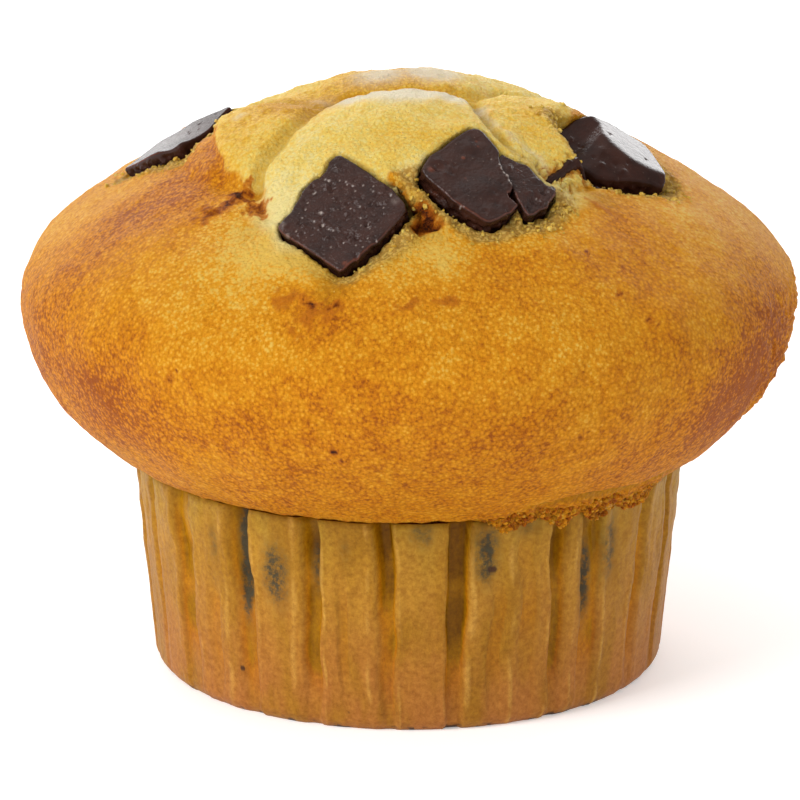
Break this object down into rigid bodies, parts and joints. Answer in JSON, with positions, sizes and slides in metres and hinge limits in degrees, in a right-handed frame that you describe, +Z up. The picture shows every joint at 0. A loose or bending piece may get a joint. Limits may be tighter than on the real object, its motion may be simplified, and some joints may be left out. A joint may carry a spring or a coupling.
{
  "type": "chocolate chunk muffin in paper case",
  "caption": "Round muffin with a wide domed cap and burst top, dark chocolate chunks sunk in the crumb, in a short pleated paper case.",
  "frame": {"origin": "centre of the paper case's underside, on the surface it stands on", "axes": "+Z up through the middle of the cap, -Y towards the side with the three front chunks"},
  "size_m": [0.0755, 0.0761, 0.0583],
  "materials": {
    "baked_crumb": "golden baked crust, pale open crumb where the top burst",
    "baking_paper": "thin greasy baking paper with pressed pleats",
    "dark_chocolate": "satin dark chocolate"
  },
  "bodies": {
    "root": {"cake": "baked_crumb", "paper_case": "baking_paper", "chunk_front_left": "dark_chocolate", "chunk_front_centre": "dark_chocolate", "chunk_front_chip": "dark_chocolate", "chunk_right": "dark_chocolate", "chunk_left": "dark_chocolate", "chunk_back_left": "dark_chocolate", "chunk_back_right": "dark_chocolate"}
  },
  "joints": []
}
